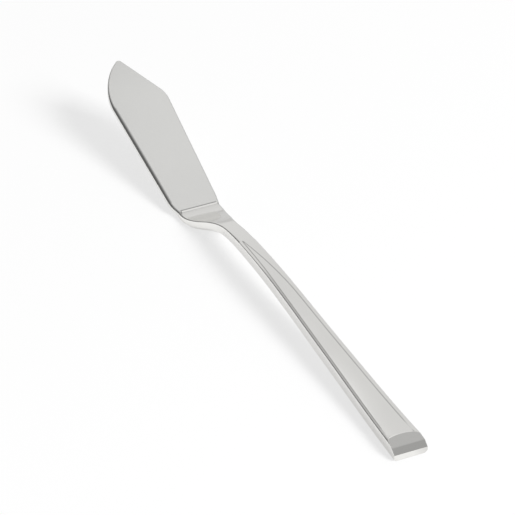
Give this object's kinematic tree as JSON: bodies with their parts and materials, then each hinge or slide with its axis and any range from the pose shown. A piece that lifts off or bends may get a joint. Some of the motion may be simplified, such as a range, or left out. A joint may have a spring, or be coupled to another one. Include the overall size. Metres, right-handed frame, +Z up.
{
  "type": "butter knife",
  "caption": "Slim butter knife with a broad flat clipped-point blade, a stepped S-curved neck and a tapering hollow handle with a bevelled top panel and faceted end.",
  "frame": {"origin": "on the table, in the middle of the knife's box", "axes": "+X along the knife to the tip, +Y to the cutting edge, +Z up from the table the knife lies on"},
  "size_m": [0.1892, 0.0176, 0.0207],
  "materials": {
    "blade_steel": "stainless steel polished to a fine satin",
    "handle_steel": "stainless steel, polished bright",
    "core_cement": "hardened handle cement, matte"
  },
  "bodies": {
    "root": {"blade": "blade_steel", "neck": "handle_steel", "handle_top_shell": "handle_steel", "handle_bottom_shell": "handle_steel", "end_cap": "handle_steel", "handle_core": "core_cement"}
  },
  "joints": []
}
